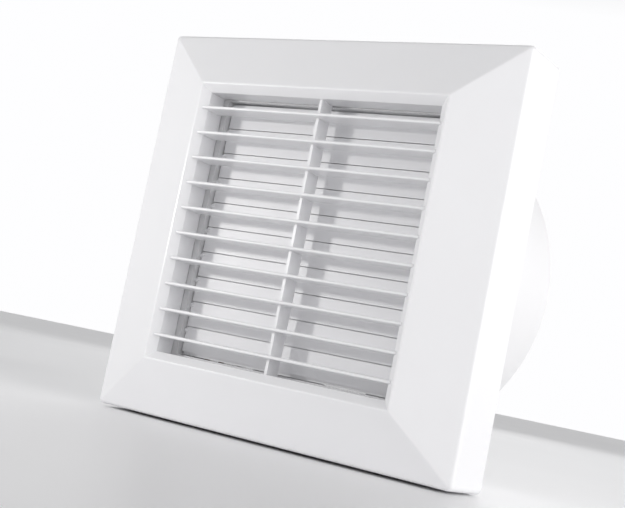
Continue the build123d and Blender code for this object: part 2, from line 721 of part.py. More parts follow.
def make_end_shield(y, towards_stack):
    """Round end shield with a bearing hub and four legs that stand on the stator stack."""
    shield = rod_y(motor_radius, y, y + shield_thickness)
    hub0, hub1 = (y, y + bearing_length) if towards_stack > 0 else (
        y + shield_thickness - bearing_length, y + shield_thickness)
    shield += rod_y(shield_hub_radius, hub0, hub1)
    leg0, leg1 = (y, stack_y) if towards_stack > 0 else (stack_end, y + shield_thickness)
    legs = [rod_y(motor_screw_radius + 1.1, leg0, leg1, x, z) for x, z in motor_screw_points()]
    for leg in legs:
        shield += leg
    for x, z in motor_screw_points():
        shield -= rod_y(motor_screw_radius + pilot_gap, leg0 - 1, leg1 + 1, x, z)
    for i in range(4):
        x, z = at_diagonal(motor_radius * 0.6, 90 * i)
        shield -= rod_y(4.5, y - 1, y + shield_thickness + 1, x, z)
    return shield - rod_y(bearing_radius, hub0 - 1, hub1 + 1)


def make_stator_stack():
    """Laminated yoke with four poles and pole shoes round the rotor."""
    stack = tube_y(motor_radius, yoke_inner, stack_y, stack_end)
    shoes = tube_y(shoe_radius, rotor_bore, stack_y, stack_end)
    for angle in diagonals:
        gap = block(0, shoe_radius + 2, stack_y - 1, stack_end + 1, -2, 2)
        shoes -= around(gap, angle)
    pole = block(rotor_bore + 1, yoke_inner + 1, stack_y, stack_end, -pole_width / 2, pole_width / 2)
    pole -= rod_y(rotor_bore, stack_y - 1, stack_end + 1)
    stack += shoes
    for i in range(4):
        stack += around(pole, 90 * i)
    for x, z in motor_screw_points():
        stack -= rod_y(motor_screw_radius + pilot_gap, stack_y - 1, stack_end + 1, x, z)
    return stack


def make_windings():
    """One coil round each pole."""
    wide = pole_width / 2 + 3.6
    r0 = shoe_radius + 0.3
    r1 = math.sqrt((yoke_inner - 0.3) ** 2 - wide ** 2)
    coil = block(r0, r1, coil_y, coil_end, -wide, wide)
    coil = fillet(coil.edges().filter_by(Axis.X), 2.0)
    slot = pole_width / 2 + 0.1
    coil -= block(r0 - 1, r1 + 1, stack_y - 0.1, stack_end + 0.1, -slot, slot)
    return [around(coil, 90 * i) for i in range(4)]


def make_rotor():
    core = rod_y(rotor_radius, stack_y - 1.5, stack_end + 1.5)
    core = chamfer(core.edges().filter_by(GeomType.CIRCLE), 0.8)
    return core - rod_y(shaft_radius, stack_y - 3, stack_end + 3)


def make_shaft():
    shaft = rod_y(shaft_radius, shield_y + 0.5, shaft_end)
    return chamfer(shaft.edges().filter_by(GeomType.CIRCLE), 0.5)


def make_bearing(y):
    bush = rod_y(bearing_radius, y, y + bearing_length)
    bush = chamfer(bush.edges().filter_by(GeomType.CIRCLE), 0.4)
    return bush - rod_y(shaft_radius + running_gap, y - 1, y + bearing_length + 1)


def make_motor_screws():
    length = motor_end - carrier_y
    parts = []
    for x, z in motor_screw_points():
        long_screw = screw(length, radius=motor_screw_radius, head_radius=2.4, head_height=1.4)
        parts.append(set_at(long_screw, (x, carrier_y, z), (0, -1, 0)))
    return parts


# ---------------------------------------------------------------- impeller


def impeller_section(radius, chord, pitch):
    """Blade section at one radius: a plate of this chord, pitched from the plane of spin."""
    middle = impeller_y + impeller_depth / 2
    plane = Plane(origin=(radius, middle, 0), x_dir=(0, math.sin(pitch), math.cos(pitch)),
                  z_dir=(1, 0, 0))
    return plane * RectangleRounded(chord, blade_skin, blade_skin * 0.45)


def make_impeller():
    """Hub cup over the rear of the motor, and twisted blades trimmed to the duct."""
    hub = rod_y(impeller_hub_radius, impeller_y, impeller_end)
    hub = fillet(hub.edges().filter_by(GeomType.CIRCLE).sort_by(Axis.Y)[-1], 3.0)
    room = impeller_hub_radius - impeller_skin
    hub -= rod_y(room, impeller_y - 1, impeller_end - impeller_skin)
    hub += rod_y(6.0, impeller_y + 2, impeller_end - 1)
    middle_radius = (impeller_hub_radius + tip_radius) / 2
    blade = loft([
        impeller_section(impeller_hub_radius - 1.2, 24.0, math.radians(44)),
        impeller_section(middle_radius, 33.0, math.radians(31)),
        impeller_section(tip_radius + 4, 40.0, math.radians(23)),
    ])
    trim = rod_y(tip_radius, impeller_y - 5, impeller_end + 5)
    blade = blade & trim
    for i in range(impeller_blades):
        hub += around(blade, i * 360 / impeller_blades)
    return hub - rod_y(shaft_radius, impeller_y - 5, impeller_end + 5)


def make_impeller_nut():
    plane = Plane(origin=(0, impeller_end, 0), x_dir=(1, 0, 0), z_dir=(0, 1, 0))
    nut = extrude(plane * RegularPolygon(5.0, 6), nut_thickness)
    return nut - rod_y(shaft_radius, impeller_end - 1, impeller_end + nut_thickness + 1)


# ---------------------------------------------------------------- wiring


def terminal_places():
    step = block_length / terminal_ways
    return [block_x + step * (i + 0.5) for i in range(terminal_ways)]


def make_terminal_block():
    """Insulated block with one screw shaft and one wire way for each terminal."""
    body = block(block_x, block_x + block_length, block_front, -tray_floor, block_z,
                 block_z + block_width)
    middle_z = block_z + block_width / 2
    for x in terminal_places():
        body -= rod_y(way_half, block_front - 1, wire_y, x, middle_z)
        body -= block(x - way_half, x + way_half, wire_y - way_front, wire_y + way_rear,
                      block_z + way_floor,
                      block_z + block_width + 1)
    return body


def make_terminal_clamps():
    """Brass tubes in the block that grip the wires."""
    parts = []
    half_tube = way_half - clamp_gap
    middle_z = block_z + block_width / 2
    for x in terminal_places():
        tube = block(x - half_tube, x + half_tube, wire_y - way_front + clamp_gap,
                     wire_y + way_rear - clamp_gap, block_z + way_floor + clamp_gap,
                     block_z + block_width - clamp_sink)
        tube -= rod_z(lead_radius + wire_slack, wire_stop, block_z + block_width, x, wire_y)
        tube -= rod_y(clamp_screw_radius + pilot_gap, wire_y - way_front - 1, wire_y, x, middle_z)
        parts.append(tube)
    return parts


def make_terminal_screws():
    parts = []
    middle_z = block_z + block_width / 2
    for x in terminal_places():
        small = screw(clamp_screw_length, radius=clamp_screw_radius, head_radius=1.9,
                      head_height=1.2)
        parts.append(set_at(small, (x, wire_y - clamp_screw_rise, middle_z), (0, -1, 0)))
    return parts


def make_grommet():
    """Rubber cable entry through the tray floor."""
    body = rod_y(grommet_bore + grommet_wall, -tray_floor - grommet_flange, 0, grommet_x, grommet_z)
    body += rod_y(grommet_flange_radius, -tray_floor - grommet_flange, -tray_floor, grommet_x,
                  grommet_z)
    return body - rod_y(grommet_bore, -tray_floor - grommet_flange - 1, 1, grommet_x, grommet_z)


def lead(points):
    """Insulated lead: straight runs with rounded bends."""
    path = FilletPolyline(*points, radius=lead_bend)
    start = Plane(origin=path @ 0, z_dir=path % 0)
    return sweep(start * Circle(lead_radius), path=path)


def beside_arm(radius, offset):
    """A point at this radius, this far along the circle from the lower left arm."""
    return at_diagonal(radius, diagonals[2] + math.degrees(offset / radius))


def make_motor_leads():
    """Two leads from the motor, beside the lower left arm, to the terminal block."""
    parts = []
    ways = terminal_places()
    for i in range(2):
        offset = pad_radius + lead_beside + i * lead_spread
        start = at_diagonal(cup_radius - lead_bite, lead_angle + (i - 0.5) * lead_step)
        clear = beside_arm(bore_radius - lead_turn_in, offset)
        over = beside_arm(spigot_radius + lead_turn_out, offset)
        way = ways[2 - i]
        parts.append(lead([
            (start[0], lead_y, start[1]),
            (clear[0], lead_y, clear[1]),
            (over[0], wire_y, over[1]),
            (way, wire_y, block_z + block_width + lead_run_out - i * lead_stagger),
            (way, wire_y, wire_stop + clamp_gap),
        ]))
    return parts


# ---------------------------------------------------------------- write every node

nodes = {
    "front_cover": make_front_cover(),
    "cover_screws": make_cover_screws(),
    "housing": make_housing(),
    "spigot_tube": make_spigot(),
    "wall_seal": make_wall_seal(),
    "shutter_frame": make_shutter_frame(),
    "flap_retainer_left": make_retainer(-1),
    "flap_retainer_right": make_retainer(1),
    "link_bar": make_link_bar(),
    "frame_screws": make_frame_screws(),
    "actuator_body": make_actuator_body(),
    "actuator_cap": make_actuator_cap(),
    "actuator_plunger": make_plunger(),
    "wax_capsule": make_wax_capsule(),
    "return_spring": make_return_spring(),
    "actuator_straps": make_actuator_straps(),
    "strap_screws": make_strap_screws(),
    "motor_carrier": make_motor_carrier(),
    "carrier_screws": make_carrier_screws(),
    "motor_rubbers": make_motor_rubbers(),
    "front_end_shield": make_end_shield(shield_y, 1),
    "rear_end_shield": make_end_shield(rear_shield_y, -1),
    "stator_stack": make_stator_stack(),
    "stator_windings": make_windings(),
    "rotor": make_rotor(),
    "motor_shaft": make_shaft(),
    "front_bearing": make_bearing(shield_y),
    "rear_bearing": make_bearing(rear_shield_y + shield_thickness - bearing_length),
    "motor_screws": make_motor_screws(),
    "impeller": make_impeller(),
    "impeller_nut": make_impeller_nut(),
    "terminal_block": make_terminal_block(),
    "terminal_clamps": make_terminal_clamps(),
    "terminal_screws": make_terminal_screws(),
    "cable_grommet": make_grommet(),
    "motor_leads": make_motor_leads(),
}
for number, level in enumerate(flap_levels, start=1):
    nodes[f"shutter_flap_{number:02d}"] = make_flap(level)

os.makedirs("parts", exist_ok=True)
for name, shape in nodes.items():
    solids = shape if isinstance(shape, list) else [shape]
    solids = [solid for part in solids for solid in part.solids()]
    export_step(Compound(children=solids) if len(solids) > 1 else solids[0], f"parts/{name}.step")

print("nodes", len(nodes), "hinge axis y", flap_y, "levels", flap_levels[0], flap_levels[-1])
print("link pin", link_y, flap_levels[0] + crank_pin_z, "stroke", plunger_stroke)
print("carrier y", carrier_y, "impeller", impeller_y, impeller_end, "shaft end", shaft_end)
print("wall slots", wall_hole_x, wall_hole_z, "grommet", grommet_x, grommet_z)
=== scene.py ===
# %% [markdown]
# # A bathroom extractor fan
# The fan is a square white cover with fixed grille blades, a shutter of ten flaps behind them,
# and a round spigot with a motor and an impeller at the back. Its exact shape comes from a CAD
# model. In this lesson we load that model as a fixed frame, give every part a finish that suits
# how it was made, and build the small parts that a finish alone can't show: cross-headed
# screws, wound copper coils, a coil spring and a strip of foam. All lengths are in metres.

# %% Load the frame
import json
import math

import bmesh
import bpy
import numpy as np
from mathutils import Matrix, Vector


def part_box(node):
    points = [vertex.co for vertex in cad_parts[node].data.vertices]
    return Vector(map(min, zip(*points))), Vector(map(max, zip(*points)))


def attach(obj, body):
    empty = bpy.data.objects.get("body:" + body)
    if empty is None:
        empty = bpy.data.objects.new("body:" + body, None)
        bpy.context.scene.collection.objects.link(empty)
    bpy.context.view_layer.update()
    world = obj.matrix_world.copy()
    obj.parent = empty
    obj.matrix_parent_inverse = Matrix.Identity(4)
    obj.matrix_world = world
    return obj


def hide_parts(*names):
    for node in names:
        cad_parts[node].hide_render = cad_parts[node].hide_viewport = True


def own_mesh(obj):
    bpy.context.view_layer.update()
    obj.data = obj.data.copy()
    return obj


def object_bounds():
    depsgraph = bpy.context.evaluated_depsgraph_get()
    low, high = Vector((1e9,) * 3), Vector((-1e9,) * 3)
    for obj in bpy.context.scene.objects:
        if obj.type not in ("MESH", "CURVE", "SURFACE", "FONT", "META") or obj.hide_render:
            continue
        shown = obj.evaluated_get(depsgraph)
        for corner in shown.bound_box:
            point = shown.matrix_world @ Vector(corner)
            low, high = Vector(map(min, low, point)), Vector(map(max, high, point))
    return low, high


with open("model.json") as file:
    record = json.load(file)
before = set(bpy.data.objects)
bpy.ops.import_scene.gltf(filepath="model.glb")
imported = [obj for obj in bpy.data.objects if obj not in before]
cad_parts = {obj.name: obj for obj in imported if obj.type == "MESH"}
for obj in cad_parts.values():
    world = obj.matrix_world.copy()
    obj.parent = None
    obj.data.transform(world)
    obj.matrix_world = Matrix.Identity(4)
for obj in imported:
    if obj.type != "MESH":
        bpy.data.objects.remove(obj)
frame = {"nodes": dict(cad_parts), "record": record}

cad_low, cad_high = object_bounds()
print("parts", len(frame["nodes"]), "size in mm", [round(1000 * s, 1) for s in cad_high - cad_low])

# %% [markdown]
# ## The camera
# A camera has a place, a direction and a lens. Ours stands low and to the right of the fan,
# about half a metre away, and is rolled by some 12 degrees, so that the square front leans in
# the picture. A 65 mm lens keeps the perspective natural for a thing that one holds in the
# hand. A small sideways shift frames the fan without turning the camera.

# %% Camera
camera_place = (0.22891, -0.41032, -0.04839)
camera_turn = (95.156, -11.681, 31.968)  # degrees about X, Y and Z

camera = bpy.data.objects.new("camera", bpy.data.cameras.new("camera"))
camera.data.sensor_width = 36.0
camera.data.lens = 65.41
camera.data.shift_x = 0.096
camera.data.shift_y = -0.0043
camera.data.clip_start = 0.01
camera.location = camera_place
camera.rotation_euler = [math.radians(a) for a in camera_turn]
bpy.context.scene.collection.objects.link(camera)
bpy.context.scene.camera = camera
print("camera", round(math.dist(camera_place, (0, 0, 0)), 3), "m from the middle of the fan")

# %% [markdown]
# ## A helper for surfaces
# Most of what we build is a surface over a grid: two parameters, u and v, and a formula that
# gives X, Y and Z for each pair. Numpy works the formula out for the whole grid at once. This
# helper takes the finished grid of points and makes a Blender mesh from it. It can join the
# grid to itself in either direction, which makes tubes and rings, and it can close the ends.

# %% Grid to mesh
def grid_faces(rows, columns, wrap_rows, wrap_columns):
    """Corner numbers of each square of a grid: one corner, then the next along each way."""
    r = np.arange(rows if wrap_rows else rows - 1)
    c = np.arange(columns if wrap_columns else columns - 1)
    r, c = np.meshgrid(r, c, indexing="ij")
    r2, c2 = (r + 1) % rows, (c + 1) % columns
    corners = [r * columns + c, r * columns + c2, r2 * columns + c2, r2 * columns + c]
    return np.stack(corners, axis=-1).reshape(-1, 4)


def piece_from_grids(name, grids, wrap_rows=False, wrap_columns=True):
    """One smooth object from grids of points, each of the shape (rows, columns, 3)."""
    points, faces, start = [], [], 0
    for grid in grids:
        rows, columns = grid.shape[:2]
        faces.append(grid_faces(rows, columns, wrap_rows, wrap_columns) + start)
        points.append(grid.reshape(-1, 3))
        start += rows * columns
    mesh = bpy.data.meshes.new(name)
    mesh.from_pydata(np.concatenate(points).tolist(), [], np.concatenate(faces).tolist())
    merge_and_turn_out(mesh)
    mesh.shade_smooth()
    piece = bpy.data.objects.new(name, mesh)
    bpy.context.scene.collection.objects.link(piece)
    return piece


def merge_and_turn_out(mesh):
    """Merges points that fall together, at poles and seams, and turns every face outwards."""
    work = bmesh.new()
    work.from_mesh(mesh)
    bmesh.ops.remove_doubles(work, verts=work.verts, dist=1e-7)
    bmesh.ops.recalc_face_normals(work, faces=work.faces)
    work.to_mesh(mesh)
    work.free()


print("a 4 by 5 grid gives", len(grid_faces(4, 5, False, True)), "faces when it is a tube")

# %% [markdown]
# ## Cross-headed screws
# A screw is turned from wire: its head is pressed, its cross is punched and its thread is
# rolled. All of that is one surface of revolution with two changes. Near the middle of the head
# the surface drops wherever it is close to one of two crossed lines, and along the shank the
# radius rises and falls with a wave that climbs as it goes round, which is what a thread is.
# Modelling it this way needs no cutting, so the mesh stays clean.

# %% Screw surface
def smooth_step(x):
    """0 below 0, 1 above 1, and a smooth rise between."""
    x = np.clip(x, 0, 1)
    return x * x * (3 - 2 * x)


def screw_grid(head_radius, head_height, shank_radius, length, pitch=0.0011, around=48):
    """Radius and height are functions of the way along the profile and of the angle.

    The profile runs from the middle of the head, over its dome, in along its underside and
    down the thread to the point. The height is above the underside of the head.
    """
    angle = np.linspace(0, 2 * np.pi, around, endpoint=False)[None, :]
    dome = np.linspace(0, 1, 26)[:, None] ** 0.8
    r = head_radius * dome
    top = head_height * (0.55 + 0.45 * np.sqrt(np.clip(1 - dome ** 4, 0, 1)))
    arm = np.minimum(np.abs(r * np.sin(angle)), np.abs(r * np.cos(angle)))
    in_cross = smooth_step(1.6 - arm / (0.11 * head_radius))
    in_cross = in_cross * smooth_step((0.62 - dome) * 7)
    z = top - 0.6 * head_height * in_cross * (1 - 0.5 * dome)
    rows = [np.stack([r * np.cos(angle), r * np.sin(angle), z + 0 * angle], axis=-1)]

    edge = np.array([[head_radius, 0.25 * head_height], [head_radius * 0.97, 0.0]])
    count = max(16, int(length / pitch * 6))
    way = np.linspace(0, 1, count)[:, None]
    depth = -way * length
    ridge = 0.5 + 0.5 * np.cos(2 * np.pi * (depth / pitch) + angle)
    taper = 1 - smooth_step((way - 0.86) / 0.14) * 0.96
    radius = shank_radius * (0.82 + 0.18 * ridge ** 1.5) * taper
    ring = np.broadcast_to(edge[:, 0:1], (2, around))
    rows.append(np.stack([ring * np.cos(angle), ring * np.sin(angle),
                          edge[:, 1:2] + 0 * angle], axis=-1))
    rows.append(np.stack([radius * np.cos(angle), radius * np.sin(angle),
                          depth + 0 * angle], axis=-1))
    tip = np.zeros((1, around, 3))
    tip[..., 2] = -length
    return np.concatenate(rows + [tip])


def place(grid, origin, towards):
    """Turns a grid that points along +Z so that it points towards one axis, and moves it."""
    axis = np.array(towards, float)
    side = np.array([1.0, 0, 0]) if abs(axis[0]) < 0.5 else np.array([0, 1.0, 0])
    across = np.cross(axis, side)
    return grid @ np.array([side, across, axis]) + np.array(origin)


sample = screw_grid(0.0028, 0.0018, 0.0015, 0.011)
print("one screw has", sample.shape[0] * sample.shape[1], "points")

# %% [markdown]
# ## Where the screws go
# Each set of screws stands in for one CAD part, so its places come from that part's box: the
# box of a set ends one head radius beyond the axis of its outermost screw. The screws of the
# motor, its carrier and the shutter frame are each set at the corners of a rectangle.

# %% Place the screws
head_normal, shank_normal = (0.0028, 0.0018), 0.0015


def screw_set(node, head, shank_radius, facing, across):
    """Screws at the given shares of the node's box, less one head radius, facing one way."""
    low, high = (np.array(corner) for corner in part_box(node))
    middle, reach = (low + high) / 2, (high - low) / 2 - head[0]
    along = int(np.argmax(np.abs(facing)))
    outward = facing[along]
    outer, inner = (high, low) if outward > 0 else (low, high)
    grids = []
    for share in across:
        origin = middle + np.array(share) * reach
        origin[along] = outer[along] - outward * head[1]
        grids.append(place(screw_grid(*head, shank_radius, abs(origin[along] - inner[along])),
                           origin, facing))
    piece = piece_from_grids(node + "_threaded", grids)
    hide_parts(node)
    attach(piece, "housing_body")
    print(node, len(grids), "screws", len(piece.data.vertices), "points")
    return piece


corners_y = [(sx, 0, sz) for sx in (-1, 1) for sz in (-1, 1)]
zinc_pieces = [
    screw_set("cover_screws", head_normal, shank_normal, (0, 0, -1), [(-1, 0, 0), (1, 0, 0)]),
    screw_set("frame_screws", head_normal, shank_normal, (0, -1, 0), corners_y),
    screw_set("carrier_screws", head_normal, shank_normal, (0, -1, 0), corners_y),
    screw_set("motor_screws", (0.0024, 0.0014), 0.00125, (0, -1, 0), corners_y),
    screw_set("strap_screws", (0.0016, 0.001), 0.0009, (0, 1, 0), corners_y),
    screw_set("terminal_screws", (0.0019, 0.0012), 0.0012, (0, -1, 0),
              [(-1, 0, 0), (0, 0, 0), (1, 0, 0)]),
]

# %% [markdown]
# ## The foam seal
# A strip of closed-cell foam lies in a groove round the back of the tray and is squeezed
# against the wall. It is cut from sheet, so its section is nearly square with soft edges, and
# its surface is slightly uneven. We carry a rounded section along a square path with rounded
# corners, and let the section swell and shrink a little along the way.

# %% Foam seal
def rounded_square(half, corner, steps):
    """Points and outward directions along a square with round corners, in X and Z."""
    t = np.linspace(0, 2 * np.pi, steps, endpoint=False)
    power = 0.16
    x = np.sign(np.cos(t)) * np.abs(np.cos(t)) ** power
    z = np.sign(np.sin(t)) * np.abs(np.sin(t)) ** power
    square = np.clip(np.stack([x, z], axis=-1) * half, -half, half)
    inner = np.clip(square, -(half - corner), half - corner)
    out = square - inner
    out = out / np.maximum(np.linalg.norm(out, axis=-1, keepdims=True), 1e-9)
    return inner + out * corner, out


seal_low, seal_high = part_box("wall_seal")
seal_width, seal_depth = 0.0022, seal_high.y - seal_low.y
seal_path, seal_out = rounded_square(seal_high.x - seal_width / 2, 0.0016, 480)
v = np.linspace(0, 2 * np.pi, 20, endpoint=False)
swell = 1 - 0.03 * (1 + np.sin(37 * np.linspace(0, 2 * np.pi, 480, endpoint=False)))[:, None]
side = np.sign(np.cos(v)) * np.abs(np.cos(v)) ** 0.5 * seal_width / 2 * swell
rise = np.sign(np.sin(v)) * np.abs(np.sin(v)) ** 0.5 * seal_depth / 2 * swell
grid = np.stack([seal_path[:, None, 0] + side * seal_out[:, None, 0],
                 (seal_low.y + seal_high.y) / 2 + rise,
                 seal_path[:, None, 1] + side * seal_out[:, None, 1]], axis=-1)
foam = piece_from_grids("foam_seal", [grid], wrap_rows=True)
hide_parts("wall_seal")
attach(foam, "housing_body")
print("foam strip", round(8 * 1000 * seal_high.x), "mm round")

# %% [markdown]
# ## The copper coils
# A coil is one enamelled wire wound round and round a pole of the motor. From outside one sees
# the wire's turns side by side. Winding a real spiral would take a very long tube, so we carry
# a ribbed section round a rounded rectangle: each rib is one turn of wire.

# %% Coils
pole_half, coil_thick, coil_start = 0.0046, 0.0034, 0.01575
coil_box_low, coil_box_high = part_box("stator_windings")
coil_ends = coil_box_high.x - 0.0001
turns = 14


def coil_grid(angle):
    """Carries a ribbed section round a pole.

    The section's outer side is a row of half circles, its inner side is straight. The path is
    a rounded rectangle round the pole's own section, in Y and Z, at a distance that the
    section gives.
    """
    t = np.linspace(0, 2 * np.pi, 128, endpoint=False)
    half_y = (coil_box_high.y - coil_box_low.y) / 2 - coil_thick - 0.0001
    inner, out = squared_ring(t, half_y, pole_half)
    s = np.linspace(0, 1, turns * 6 + 1)
    rib = np.abs(np.sin(np.pi * turns * s)) ** 0.6
    bulge = coil_thick * (0.80 + 0.12 * np.sin(np.pi * s) + 0.08 * rib)
    bulge[[0, -1]] = 0.0
    along = coil_start + (coil_ends - coil_start) * s
    y = inner[:, None, 0] + out[:, None, 0] * bulge
    z = inner[:, None, 1] + out[:, None, 1] * bulge
    x = along[None, :] + 0 * y
    middle = (coil_box_low.y + coil_box_high.y) / 2
    turn = math.radians(angle)
    return np.stack([x * math.cos(turn) - z * math.sin(turn), middle + y,
                     x * math.sin(turn) + z * math.cos(turn)], axis=-1)


def squared_ring(t, half_a, half_b, corner=0.0015):
    """A rounded rectangle round the pole, and the direction out of it at each point."""
    a = np.clip(np.cos(t) * 1.6, -1, 1) * half_a
    b = np.clip(np.sin(t) * 1.6, -1, 1) * half_b
    out = np.stack([a / half_a, b / half_b], axis=-1)
    out = np.sign(out) * np.abs(out) ** 9
    out = out / np.maximum(np.linalg.norm(out, axis=-1, keepdims=True), 1e-9)
    base = np.stack([np.clip(a, corner - half_a, half_a - corner),
                     np.clip(b, corner - half_b, half_b - corner)], axis=-1)
    return base + out * corner, out


coils = piece_from_grids("wound_coils", [np.swapaxes(coil_grid(90 * i), 0, 1) for i in range(4)],
                         wrap_rows=False, wrap_columns=True)
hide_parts("stator_windings")
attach(coils, "housing_body")
print("coils", turns, "turns each,", len(coils.data.vertices), "points")

# %% [markdown]
# ## The return spring
# The spring in the actuator is wire wound at an even pitch, with its last turn at each end
# closed up flat. We carry a circle along a helix whose climb slows down to almost nothing near
# the ends. When the wax pushes the plunger up, the real spring gets shorter; this piece is
# built at one length and does not move with the plunger.

# %% Spring
spring_low, spring_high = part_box("return_spring")
wire = 0.0003
spring_turns = 6.5
mean = (spring_high.x - spring_low.x) / 2 - wire
share = np.linspace(0, 1, 420)
turned = 2 * np.pi * spring_turns * share
climb = smooth_step(share) * 0.35 + share * 0.65
z = spring_low.z + wire + climb * (spring_high.z - spring_low.z - 2 * wire)
v = np.linspace(0, 2 * np.pi, 10, endpoint=False)
out = mean + wire * np.cos(v)[None, :]
grid = np.stack([(spring_low.x + spring_high.x) / 2 + out * np.cos(turned)[:, None],
                 (spring_low.y + spring_high.y) / 2 + out * np.sin(turned)[:, None],
                 z[:, None] + wire * np.sin(v)[None, :]], axis=-1)
ends = [np.broadcast_to(grid[i].mean(axis=0), (1,) + grid.shape[1:]) for i in (0, -1)]
spring = piece_from_grids("coil_spring", [np.concatenate([ends[0], grid, ends[1]])])
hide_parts("return_spring")
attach(spring, "housing_body")
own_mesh(spring)

# %% [markdown]
# ## Finishes: how a material is built here
# A material is a small graph of nodes. Each of ours starts from the place of a point on the
# part itself, in metres, so a pattern keeps its real scale. One noise gives slow changes of
# tone, another gives the fine texture, and both are quiet: a good moulding is even, but it is
# never perfectly flat. Values that are the same everywhere are set on the shader itself.

# %% Material helpers
def material(name, **constants):
    """An empty material with one shader, and the values that are the same all over it."""
    made = bpy.data.materials.new(name)
    made.use_nodes = True
    tree = made.node_tree
    tree.nodes.clear()
    output = tree.nodes.new("ShaderNodeOutputMaterial")
    shader = tree.nodes.new("ShaderNodeBsdfPrincipled")
    tree.links.new(shader.outputs["BSDF"], output.inputs["Surface"])
    for socket, value in constants.items():
        shader.inputs[socket.replace("_", " ")].default_value = value
    return made, tree, shader


def noise(tree, size, detail=3.0, stretch=(1, 1, 1)):
    """Cloudy noise whose patches are about this size, in metres, stretched along the axes."""
    place_node = tree.nodes.new("ShaderNodeTexCoord")
    mapping = tree.nodes.new("ShaderNodeMapping")
    mapping.inputs["Scale"].default_value = stretch
    texture = tree.nodes.new("ShaderNodeTexNoise")
    texture.inputs["Scale"].default_value = 1 / size
    texture.inputs["Detail"].default_value = detail
    tree.links.new(place_node.outputs["Object"], mapping.inputs["Vector"])
    tree.links.new(mapping.outputs["Vector"], texture.inputs["Vector"])
    return texture.outputs["Fac"]


def bands(tree, axis, width, ripple=0.0):
    """Even stripes across one axis, each of this width in metres."""
    place_node = tree.nodes.new("ShaderNodeTexCoord")
    texture = tree.nodes.new("ShaderNodeTexWave")
    texture.bands_direction = axis
    texture.inputs["Scale"].default_value = 2 * math.pi / 20 / width
    texture.inputs["Distortion"].default_value = ripple
    texture.inputs["Detail"].default_value = 1.0
    tree.links.new(place_node.outputs["Object"], texture.inputs["Vector"])
    return texture.outputs["Fac"]


def tone(tree, shader, field, dark, light):
    """Colour that runs between two tones as the field goes from low to high."""
    ramp = tree.nodes.new("ShaderNodeValToRGB")
    ramp.color_ramp.elements[0].position, ramp.color_ramp.elements[1].position = 0.3, 0.7
    ramp.color_ramp.elements[0].color = (*dark, 1)
    ramp.color_ramp.elements[1].color = (*light, 1)
    tree.links.new(field, ramp.inputs["Fac"])
    tree.links.new(ramp.outputs["Color"], shader.inputs["Base Color"])


def gloss(tree, shader, field, smooth, rough):
    """Roughness that runs between two values as the field goes from low to high."""
    spread = tree.nodes.new("ShaderNodeMapRange")
    spread.inputs["From Min"].default_value = 0.3
    spread.inputs["From Max"].default_value = 0.7
    spread.inputs["To Min"].default_value = smooth
    spread.inputs["To Max"].default_value = rough
    tree.links.new(field, spread.inputs["Value"])
    tree.links.new(spread.outputs["Result"], shader.inputs["Roughness"])


def relief(tree, shader, field, height):
    """Fine relief of this height in metres, from the field."""
    bump = tree.nodes.new("ShaderNodeBump")
    bump.inputs["Strength"].default_value = 1.0
    bump.inputs["Distance"].default_value = height
    tree.links.new(field, bump.inputs["Height"])
    tree.links.new(bump.outputs["Normal"], shader.inputs["Normal"])


print("helpers ready")

# %% [markdown]
# ## Moulded plastic
# Nearly all of what one sees is white ABS, moulded in polished or lightly etched steel tools.
# It is a semi-gloss: highlights are soft but clear. Under the shine the surface has an orange
# peel of less than a hundredth of a millimetre. The cover gets the smoothest finish, the tray
# behind it a slightly rougher one, and the frame a plain satin one.

# %% Plastics
def moulded(name, colour, smooth, rough, grain, height, mottle=0.012, **extra):
    """White or coloured moulding: slow tone, slow gloss and a fine orange peel."""
    made, tree, shader = material(name, IOR=1.53, **extra)
    colour = np.array(colour)
    slow = noise(tree, 0.045, 2.0)
    tone(tree, shader, slow, colour * (1 - mottle), colour)
    gloss(tree, shader, noise(tree, 0.02, 3.0), smooth, rough)
    relief(tree, shader, noise(tree, grain, 2.0), height)
    return made


finishes = {
    "cover_abs": moulded("semi_gloss_white", (0.90, 0.90, 0.915), 0.30, 0.36, 0.0011, 2.2e-6,
                         Coat_Weight=0.25, Coat_Roughness=0.22),
    "flap_abs": moulded("satin_white_flap", (0.90, 0.90, 0.915), 0.36, 0.44, 0.0009, 2.5e-6),
    "housing_abs": moulded("satin_white_tray", (0.86, 0.86, 0.87), 0.38, 0.47, 0.0008, 4e-6),
    "frame_abs": moulded("satin_frame", (0.74, 0.74, 0.75), 0.42, 0.52, 0.0007, 4e-6),
    "carrier_plastic": moulded("glass_filled_nylon", (0.62, 0.62, 0.63), 0.46, 0.60, 0.0005, 9e-6,
                               mottle=0.06),
    "impeller_plastic": moulded("impeller_white", (0.78, 0.78, 0.79), 0.34, 0.42, 0.0009, 3e-6),
    "terminal_plastic": moulded("terminal_cream", (0.74, 0.71, 0.61), 0.40, 0.50, 0.0006, 4e-6),
    "lead_insulation": moulded("brown_insulation", (0.21, 0.10, 0.055), 0.38, 0.48, 0.0005, 6e-6,
                               mottle=0.08),
}
print("plastics", sorted(finishes))

# %% [markdown]
# ## Metals
# Each metal part shows how it was made. Turned parts and drawn cans have fine rings, sheet has
# a rolled grain, castings have a skin of small dimples, and the motor's core is a stack of thin
# sheets whose edges one can count. We get these by stretching a noise along one axis, or with
# even stripes half a millimetre apart.

# %% Metals
def metal(name, colour, smooth, rough, field_of, height, shade=0.15):
    """Bare metal: one field drives its tone and its relief, and a fine noise drives its gloss."""
    made, tree, shader = material(name, Metallic=1.0)
    colour = np.array(colour)
    field = field_of(tree)
    tone(tree, shader, field, colour * (1 - shade), colour)
    gloss(tree, shader, noise(tree, 0.004, 3.0), smooth, rough)
    relief(tree, shader, field, height)
    return made


